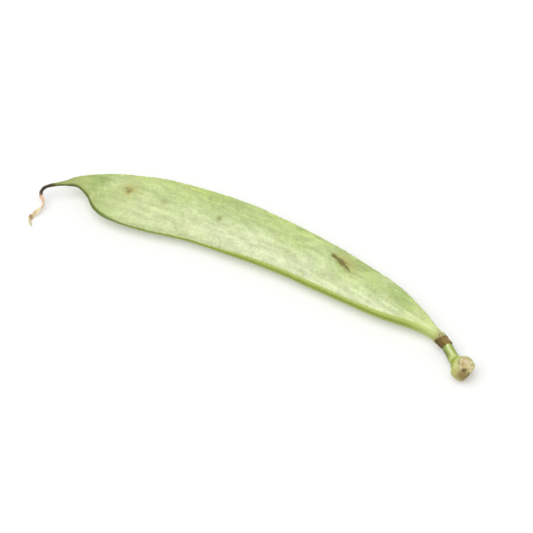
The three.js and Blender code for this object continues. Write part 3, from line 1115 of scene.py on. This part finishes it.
def lay_scars(skin, look, clouds, mottle):
    """The scratch with its scrapes and healed skin, the blotched star in its halo, and the specks."""
    healed = skin.times(skin.value("healed"), skin.step(clouds, 0.3, 0.6, 0.45, 0.9))
    skin.lay(look.scar_skin, healed)
    skin.lay(look.scar, skin.times(skin.value("scrapes"), 0.4))
    skin.lay(look.scar, skin.step(skin.value("stroke"), 0.1, 0.85, 0.0, 0.9))
    skin.lay(look.scar_skin, skin.times(skin.value("star_halo"), 0.65))
    skin.lay(look.scar_skin, skin.step(skin.value("star"), 0.02, 0.45, 0.0, 0.5))
    blotches = skin.step(mottle, 0.32, 0.58, 0.35, 1.0)
    skin.lay(look.star, skin.times(skin.step(skin.value("star"), 0.35, 0.9), blotches))
    skin.lay(look.speck, skin.step(skin.cells((3.4, 2.0, 3.4)), 0.1, 0.04, 0.0, 0.35))
    skin.lay(look.olive_speck, skin.value("olive_speck"))


def style_finish(look):
    """Dry thread: olive with a dark seam where it leaves the pod, then dark all round, with fibres."""
    bark = Finish("dry_thread", look.thread_base, 0.7, 0.3)
    fibres = bark.noise((0.9, 0.12, 1.0), 3.0, bark.surface)
    along = bark.value("along")
    seam = bark.mix(bark.step(along, 0.36, 0.58), look.thread_seam, look.thread)
    bark.lay(seam, bark.value("dark"))
    bark.lay(look.petal_pink, bark.step(along, 0.9, 1.0, 0.0, 0.6))
    bark.lay(look.thread_base, bark.step(fibres, 0.5, 0.75, 0.0, 0.25))
    return bark.finish(bark.bump(fibres, 0.06))


def flower_finish(look):
    """Withered petal: pale tan, pink near its top and brown in its folds, with a brown knot low down."""
    petal = Finish("withered_petal", look.withered, 0.85, 0.2)
    along = petal.value("along")
    streaks, clouds = petal.noise((1.6, 0.22, 1.0), 3.0, petal.surface), petal.noise(0.9, 3.0)
    pink = petal.math("MULTIPLY_ADD", clouds, 0.3, along)
    petal.lay(look.petal_pink, petal.step(pink, 0.62, 0.34, 0.0, 0.85))
    petal.lay(look.petal_brown, petal.step(streaks, 0.55, 0.75, 0.0, 0.25))
    petal.lay(look.petal_brown, petal.step(petal.value("fold"), -0.3, -1.0, 0.0, 0.4))
    from_knot = petal.math("ABSOLUTE", petal.math("SUBTRACT", along, 0.74))
    petal.lay(look.petal_brown, petal.step(from_knot, 0.07, 0.01, 0.0, 0.75))
    petal.lay(look.thread, petal.step(along, 0.1, 0.02))
    return petal.finish(petal.bump(streaks, 0.06))


def calyx_finish(look):
    """Dry collar: olive brown, darker on its shaded side, with tan ridges and a pale lip."""
    husk = Finish("dry_collar", look.husk, 0.7, 0.3)
    ridge, profile, shade = husk.value("ridge"), husk.value("profile"), husk.value("shade")
    fibres, clouds = husk.noise((1.5, 0.4, 1.0), 3.0, husk.surface), husk.noise(1.1, 3.0)
    dark = husk.math("MULTIPLY_ADD", clouds, 0.9, shade)
    husk.lay(look.husk_dark, husk.step(dark, 0.25, 1.35, 0.0, 0.85))
    husk.lay(look.husk_dark, husk.step(ridge, 0.0, -0.8, 0.0, 0.5))
    husk.lay(look.husk_tan, husk.step(ridge, 0.3, 0.95, 0.0, 0.45))
    husk.lay(look.husk_tan, husk.step(fibres, 0.5, 0.72, 0.0, 0.25))
    # Pink on the lit side: the husk's own tint, partly a painted highlight.
    pink = husk.times(husk.step(shade, 0.1, -0.8), husk.step(clouds, 0.46, 0.62, 0.0, 0.5))
    husk.lay(look.husk_pink_highlight, pink)
    lip = husk.times(husk.value("pale"), husk.step(clouds, 0.3, 0.6, 0.95, 0.6))
    husk.lay(look.husk_lip, lip)
    husk.lay(look.stalk_dark, husk.step(profile, 0.16, 0.05, 0.0, 0.6))
    return husk.finish(husk.bump(fibres, 0.08))


def stalk_finish(look):
    """Green stalk: smooth and glossy, with a painted highlight along its top, painted shade on one side
    and at the calyx, yellower near the knob.
    """
    rind = Finish("green_stalk", look.stalk, 0.34, 0.5)
    along = rind.value("along")
    fibres, clouds = rind.noise((3.0, 0.35, 1.0), 2.0, rind.surface), rind.noise(1.2, 3.0)
    rind.lay(look.stalk_light, rind.step(fibres, 0.35, 0.7, 0.0, 0.6))
    rind.lay(look.stalk_dark, rind.times(rind.value("shade"), 0.9))
    # A painted highlight along the stalk's top.
    rind.lay(look.stalk_highlight, rind.times(rind.value("painted_highlight"), 0.85))
    rind.lay(look.stalk, rind.step(clouds, 0.55, 0.75, 0.0, 0.3))
    # Painted shade where the stalk leaves the calyx.
    rind.lay(look.stalk_dark, rind.step(along, 0.24, 0.1, 0.0, 0.6))
    rind.lay(look.knob_green, rind.step(along, 0.6, 0.8, 0.0, 0.7))
    return rind.finish(rind.bump(fibres, 0.05))


def knob_finish(look):
    """Knob: yellow-green at its neck, dull tan over the bulb with painted shade below and beside the
    stalk, and a rough scar with a pale rim.
    """
    bark = Finish("knob_bark", look.knob, 0.6, 0.35)
    clouds, specks = bark.noise(1.5, 3.0), bark.noise(0.45, 3.0)
    neck = bark.math("MULTIPLY_ADD", clouds, 0.5, bark.value("neck"))
    bark.lay(look.knob_green, bark.step(neck, 0.3, 0.75))
    bark.lay(look.knob_pale, bark.step(clouds, 0.55, 0.7, 0.0, 0.4))
    bark.lay(look.knob_brown_and_shade, bark.step(specks, 0.56, 0.74, 0.0, 0.35))
    # Painted shade: the bulb's underside is darker.
    bark.lay(look.knob_brown_and_shade, bark.step(bark.value("profile"), 0.3, 0.08, 0.0, 0.6))
    bark.lay(scar_face(bark, look, clouds), bark.value("scar"))
    bark.lay(look.rim, bark.times(bark.value("rim"), 0.5))
    # Painted shade in the stalk's green, on the upper left beside the stalk.
    bark.lay(look.stalk, bark.times(bark.value("green"), 0.85))
    # Brown on the lower right, partly painted shade.
    bark.lay(look.knob_brown_and_shade, bark.times(bark.value("brown"), 0.75))
    bark.lay(look.pit, bark.step(bark.value("pit"), 0.15, 0.75, 0.0, 0.9))
    return bark.finish(bark.bump(specks, 0.1))


def scar_face(bark, look, clouds):
    """The scar's rough face: tan and pale clouds, brown and pale fibres, a furrow and a pink mound,
    partly a painted highlight.
    """
    face = bark.mix(bark.step(clouds, 0.4, 0.6), look.scar_tan, look.knob_pale)
    face = bark.mix(bark.step(bark.value("fibre"), 0.05, -0.55, 0.0, 0.6), face, look.knob_brown_and_shade)
    face = bark.mix(bark.step(bark.value("fibre"), 0.2, 0.6, 0.0, 0.5), face, look.knob_pale)
    face = bark.mix(bark.times(bark.value("furrow"), 0.6), face, look.knob_brown_and_shade)
    # The mound's pale pink is partly a painted highlight.
    return bark.mix(bark.times(bark.value("mound"), 0.8), face, look.scar_pink_highlight)


# ---------------------------------------------------------------- settings


def colour_setting(name, description, red, green, blue):
    """A colour that a user can change, with its default in steps of 0 to 255."""
    return bpy.props.FloatVectorProperty(
        name=name,
        description=description,
        subtype="COLOR",
        size=3,
        min=0.0,
        max=1.0,
        default=paint(red, green, blue),
    )


def length_setting(name, description, millimetres):
    """A small length that a user can change, with its default in millimetres."""
    return bpy.props.FloatProperty(
        name=name,
        description=description,
        default=millimetres * MM,
        min=0.0,
        unit="LENGTH",
        precision=5,
    )


def angle_setting(name, description, degrees):
    """An angle that a user can change, with its default in degrees."""
    return bpy.props.FloatProperty(
        name=name,
        description=description,
        default=math.radians(degrees),
        unit="ROTATION",
    )


def strength_setting(name, description, strength):
    """A strength of light that a user can change."""
    return bpy.props.FloatProperty(
        name=name,
        description=description,
        default=strength,
        min=0.0,
    )


class BeanPodLook(bpy.types.PropertyGroup):
    """Sizes and colours of the pod."""

    seed_bulge: length_setting("Seed bulge", "How far a seed pushes the wall out", 0.34)
    seam_height: length_setting("Seam height", "Scale of the seams' cords and grooves", 1.0)
    wart_height: length_setting("Wart height", "Height of the grains beside the seams", 0.15)
    vein_height: length_setting("Vein height", "Height of the veins on the broad sides", 0.05)
    # Seed side and back side are the skin's own tones, with painted shade on the upper half and painted
    # light on the lower half.
    seed_side: colour_setting("Seed side", "Skin near the seed seam", 186, 208, 124)
    back_side: colour_setting("Back side", "Skin near the other seam", 226, 237, 188)
    belly: colour_setting("Belly", "Skin of the wide third next to the beak", 206, 222, 154)
    # The beak's colour is partly painted shade.
    beak: colour_setting("Beak", "Skin of the beak's third", 178, 197, 116)
    foot: colour_setting("Foot", "Skin near the calyx", 222, 237, 158)
    blush: colour_setting("Blush", "Faint tan areas", 218, 214, 160)
    sunny: colour_setting("Sunny", "Yellow-green areas near the seed seam", 206, 228, 124)
    bloom: colour_setting("Bloom", "Waxy bloom on the skin", 230, 239, 196)
    beak_bloom: colour_setting("Beak bloom", "Bloom on the beak's third", 220, 232, 170)
    deep_green: colour_setting("Deep green", "Mottle where the bloom is thin", 170, 193, 116)
    vein: colour_setting("Vein", "Veins under the skin", 230, 238, 190)
    # Flank and cord are the edge's own greens, darkened as painted shade.
    flank: colour_setting("Flank", "The blunt lower edge and the underside", 186, 205, 98)
    border: colour_setting("Border", "The thin line along the lower seam", 126, 148, 46)
    cord: colour_setting("Cord", "The bright stretch below the lower seam", 190, 208, 106)
    rim: colour_setting("Rim", "The edge at the seed seam", 190, 216, 108)
    wart: colour_setting("Wart", "Grains beside the seams", 214, 232, 138)
    dry_seam: colour_setting("Dry seam", "The beak's dry seam", 98, 110, 46)
    green_seam: colour_setting("Green seam", "The dark green line along the beak's third", 100, 118, 44)
    tip: colour_setting("Tip", "The skin at the beak's tip", 166, 176, 108)
    dry_foot: colour_setting("Dry foot", "The skin at the calyx", 178, 164, 96)
    scar: colour_setting("Scar", "The scratch", 112, 102, 46)
    scar_skin: colour_setting("Scar skin", "Healed skin round the scars", 192, 188, 114)
    star: colour_setting("Star", "The small blotched scar", 148, 134, 82)
    green_stain: colour_setting("Green stain", "Soft green stains on the upper face", 150, 178, 98)
    pale_stain: colour_setting("Pale stain", "Soft pale stains on the upper face", 222, 238, 174)
    speck: colour_setting("Speck", "Scattered specks", 140, 158, 90)
    olive_speck: colour_setting("Olive speck", "Three larger specks on the upper face", 142, 144, 84)


class BeanDryLook(bpy.types.PropertyGroup):
    """Colours of the thread, the withered flower, the calyx, the stalk and the knob."""

    thread_base: colour_setting("Thread base", "The thread where it leaves the pod", 168, 179, 110)
    thread_seam: colour_setting("Thread seam", "The thread's dark seam near the pod", 100, 112, 48)
    thread: colour_setting("Thread", "The dried thread", 66, 52, 34)
    withered: colour_setting("Withered", "The withered flower", 248, 234, 192)
    petal_pink: colour_setting("Petal pink", "Pink left in the flower", 242, 202, 174)
    petal_brown: colour_setting("Petal brown", "Dry brown in the flower's folds", 178, 124, 86)
    husk: colour_setting("Husk", "The calyx", 140, 118, 60)
    husk_dark: colour_setting("Dark husk", "The shaded side and the furrows of the calyx", 92, 76, 38)
    husk_tan: colour_setting("Tan husk", "Ridges of the calyx", 170, 152, 94)
    # Partly a painted highlight on the calyx's lit side.
    husk_pink_highlight: colour_setting("Pink husk", "A faint pink on the calyx", 176, 140, 114)
    husk_lip: colour_setting("Lip", "The pale lip of the calyx", 206, 206, 146)
    stalk: colour_setting("Stalk", "The stalk", 148, 167, 62)
    stalk_light: colour_setting("Light stalk", "Fibres along the stalk", 170, 189, 82)
    stalk_dark: colour_setting("Dark stalk", "The shaded side of the stalk", 100, 117, 40)
    # A painted highlight along the stalk.
    stalk_highlight: colour_setting("Pale stalk", "The bright line along the stalk", 228, 242, 172)
    knob_green: colour_setting("Green knob", "The knob near the stalk", 196, 208, 116)
    knob: colour_setting("Knob", "The knob's bark", 200, 190, 122)
    knob_pale: colour_setting("Pale knob", "Pale bark and fibres", 232, 224, 172)
    scar_tan: colour_setting("Scar tan", "The scar's rough face", 218, 202, 142)
    # Partly a painted highlight on the scar's mound.
    scar_pink_highlight: colour_setting("Scar pink", "The mound on the scar", 242, 222, 186)
    # The bark's own brown, also used as painted shade on the bulb's underside and lower right.
    knob_brown_and_shade: colour_setting("Brown knob", "Specks and furrows of the knob", 136, 112, 64)
    pit: colour_setting("Pit", "The dark pit in the scar", 118, 94, 46)
    rim: colour_setting("Rim", "The scar's raised rim", 208, 206, 152)


class BeanStudioLook(bpy.types.PropertyGroup):
    """Camera and light."""

    azimuth: angle_setting("Azimuth", "Direction that the camera stands in, from -Y towards +X", 29.5)
    elevation: angle_setting("Elevation", "Height of the camera above the surface, as an angle", 50.0)
    view_width: bpy.props.FloatProperty(
        name="View width",
        description="Width that the picture spans at the bean",
        default=0.141,
        min=0.01,
        unit="LENGTH",
    )
    focal_length: bpy.props.FloatProperty(
        name="Focal length",
        description="Lens of the camera, in millimetres",
        default=500.0,
        min=20.0,
    )
    key_light: strength_setting("Key light", "Strength of the soft lamp above the bean", 1.5)
    sky_light: strength_setting("Sky light", "Strength of the even light from all round", 0.52)
    floor_white: strength_setting("Floor white", "White that the floor adds for the camera", 0.25)


# ---------------------------------------------------------------- operators

# The key lamp's softness as the angle that it fills, and its tilt about X and Y from straight above.
LAMP_SPREAD = math.radians(70.0)
LAMP_TILT = (math.radians(16.0), math.radians(-12.0))
FLOOR_HALF_WIDTH = 4.0
FLOOR_GREY = (0.8, 0.8, 0.8, 1.0)
# The camera's sensor in millimetres, and how far it sees in metres.
SENSOR_WIDTH = 36.0
FURTHEST_VIEW = 20.0


class BEAN_OT_pod(bpy.types.Operator):
    """Grow the pod's skin with its seams, seeds, veins, warts and scars"""

    bl_idname = "bean.pod"
    bl_label = "Pod"

    def execute(self, context):
        look = context.scene.bean_pod
        rings, values = pod_surface(look)
        piece = ring_mesh("pod_skin", rings, values)
        settle(piece, pod_finish(look), "pod")
        return {"FINISHED"}


class BEAN_OT_beak(bpy.types.Operator):
    """Grow the dried thread at the beak and the withered flower that hangs from it"""

    bl_idname = "bean.beak"
    bl_label = "Beak thread and flower"

    def execute(self, context):
        look = context.scene.bean_dry
        rings, values = style_surface()
        thread = ring_mesh("beak_thread", rings, values)
        settle(thread, style_finish(look), "style")
        start = rings[-1].mean(axis=0)
        rings, values = flower_surface(start)
        flower = ring_mesh("withered_petal", rings, values)
        settle(flower, flower_finish(look), "withered_flower")
        return {"FINISHED"}


class BEAN_OT_stalk_end(bpy.types.Operator):
    """Grow the calyx, the stalk and the knob"""

    bl_idname = "bean.stalk_end"
    bl_label = "Calyx, stalk and knob"

    def execute(self, context):
        look = context.scene.bean_dry
        axis, line, meets, middle = stalk_routes()
        collar = ring_mesh("dry_collar", *calyx_surface(axis))
        settle(collar, calyx_finish(look), "calyx")
        rod = ring_mesh("green_stalk", *stalk_surface(line, meets))
        settle(rod, stalk_finish(look), "stalk")
        bulb = ring_mesh("knob_bulb", *knob_surface(middle))
        settle(bulb, knob_finish(look), "stem_knob")
        return {"FINISHED"}


class BEAN_OT_studio(bpy.types.Operator):
    """Set the white floor, the soft lamp, the white surroundings and the camera"""

    bl_idname = "bean.studio"
    bl_label = "Studio"

    def execute(self, context):
        look = context.scene.bean_studio
        add_floor(look)
        add_surroundings(look)
        add_lamp(look)
        add_camera(look)
        context.scene.view_settings.view_transform = "Standard"
        return {"FINISHED"}


def add_floor(look):
    """A wide white floor that keeps shadows, with a little white of its own for the camera."""
    half = FLOOR_HALF_WIDTH
    corners = [(-half, -half, 0.0), (half, -half, 0.0), (half, half, 0.0), (-half, half, 0.0)]
    mesh = bpy.data.meshes.new("floor")
    mesh.from_pydata(corners, [], [(0, 1, 2, 3)])
    floor = bpy.data.objects.new("floor", mesh)
    bpy.context.scene.collection.objects.link(floor)
    material = bpy.data.materials.new("white_floor")
    material.use_nodes = True
    tree = material.node_tree
    tree.nodes.clear()
    matt = tree.nodes.new("ShaderNodeBsdfDiffuse")
    matt.inputs["Color"].default_value = FLOOR_GREY
    glow = tree.nodes.new("ShaderNodeEmission")
    path = tree.nodes.new("ShaderNodeLightPath")
    strength = tree.nodes.new("ShaderNodeMath")
    strength.operation = "MULTIPLY"
    strength.inputs[1].default_value = look.floor_white
    both = tree.nodes.new("ShaderNodeAddShader")
    output = tree.nodes.new("ShaderNodeOutputMaterial")
    tree.links.new(path.outputs["Is Camera Ray"], strength.inputs[0])
    tree.links.new(strength.outputs[0], glow.inputs["Strength"])
    tree.links.new(matt.outputs[0], both.inputs[0])
    tree.links.new(glow.outputs[0], both.inputs[1])
    tree.links.new(both.outputs[0], output.inputs["Surface"])
    mesh.materials.append(material)


def add_surroundings(look):
    """Even light from all round; the camera, gloss and clear things see plain white."""
    world = bpy.data.worlds.new("white_room")
    bpy.context.scene.world = world
    world.use_nodes = True
    tree = world.node_tree
    sky = tree.nodes["Background"]
    sky.inputs["Color"].default_value = (1.0, 1.0, 1.0, 1.0)
    path = tree.nodes.new("ShaderNodeLightPath")
    seen = path.outputs["Is Camera Ray"]
    for ray in ("Is Glossy Ray", "Is Transmission Ray"):
        either = tree.nodes.new("ShaderNodeMath")
        either.operation = "MAXIMUM"
        tree.links.new(seen, either.inputs[0])
        tree.links.new(path.outputs[ray], either.inputs[1])
        seen = either.outputs[0]
    strength = tree.nodes.new("ShaderNodeMapRange")
    strength.inputs["To Min"].default_value = look.sky_light
    strength.inputs["To Max"].default_value = 1.0
    tree.links.new(seen, strength.inputs["Value"])
    tree.links.new(strength.outputs[0], sky.inputs["Strength"])


def add_lamp(look):
    """A far lamp with soft edges, tilted from straight above."""
    lamp = bpy.data.lights.new("key_lamp", "SUN")
    lamp.energy = look.key_light
    lamp.angle = LAMP_SPREAD
    holder = bpy.data.objects.new("key_lamp", lamp)
    holder.rotation_euler = (*LAMP_TILT, 0.0)
    bpy.context.scene.collection.objects.link(holder)


def add_camera(look):
    """A camera that looks at the middle of the bean's box from the chosen direction.

    Its distance is the picture's width at the bean times the focal length over the sensor's width.
    """
    data = bpy.data.cameras.new("camera")
    data.lens = look.focal_length
    data.sensor_width = SENSOR_WIDTH
    data.clip_end = FURTHEST_VIEW
    camera = bpy.data.objects.new("camera", data)
    low, high = (np.array(corner) for corner in CAD_BOX)
    level, rise = math.cos(look.elevation), math.sin(look.elevation)
    back = np.array([math.sin(look.azimuth) * level, -math.cos(look.azimuth) * level, rise])
    distance = look.view_width * look.focal_length / data.sensor_width
    target = (low + high) / 2
    camera.location = target + back * distance
    camera.rotation_euler = (math.pi / 2 - look.elevation, 0.0, look.azimuth)
    bpy.context.scene.collection.objects.link(camera)
    bpy.context.scene.camera = camera


class BEAN_PT_panel(bpy.types.Panel):
    """The steps that grow the bean, in order"""

    bl_idname = "BEAN_PT_panel"
    bl_label = "Flat bean"
    bl_space_type = "VIEW_3D"
    bl_region_type = "UI"
    bl_category = "Flat bean"

    def draw(self, context):
        for step in STEPS:
            self.layout.operator(step.bl_idname)
        for look in (context.scene.bean_pod, context.scene.bean_dry, context.scene.bean_studio):
            box = self.layout.box()
            for name in look.__annotations__:
                box.prop(look, name)


# ---------------------------------------------------------------- registration

STEPS = (BEAN_OT_studio, BEAN_OT_pod, BEAN_OT_beak, BEAN_OT_stalk_end)
GROUPS = {"bean_pod": BeanPodLook, "bean_dry": BeanDryLook, "bean_studio": BeanStudioLook}


def register():
    """Adds the settings, the operators and the panel."""
    for item in (*GROUPS.values(), *STEPS, BEAN_PT_panel):
        bpy.utils.register_class(item)
    for name, group in GROUPS.items():
        setattr(bpy.types.Scene, name, bpy.props.PointerProperty(type=group))


def unregister():
    """Takes them away again."""
    for name in GROUPS:
        delattr(bpy.types.Scene, name)
    for item in (BEAN_PT_panel, *reversed(STEPS), *reversed(GROUPS.values())):
        bpy.utils.unregister_class(item)


def main():
    """Grows the whole bean in its studio."""
    register()
    bpy.ops.bean.studio()
    bpy.ops.bean.pod()
    bpy.ops.bean.beak()
    bpy.ops.bean.stalk_end()


if __name__ == "__main__":
    main()
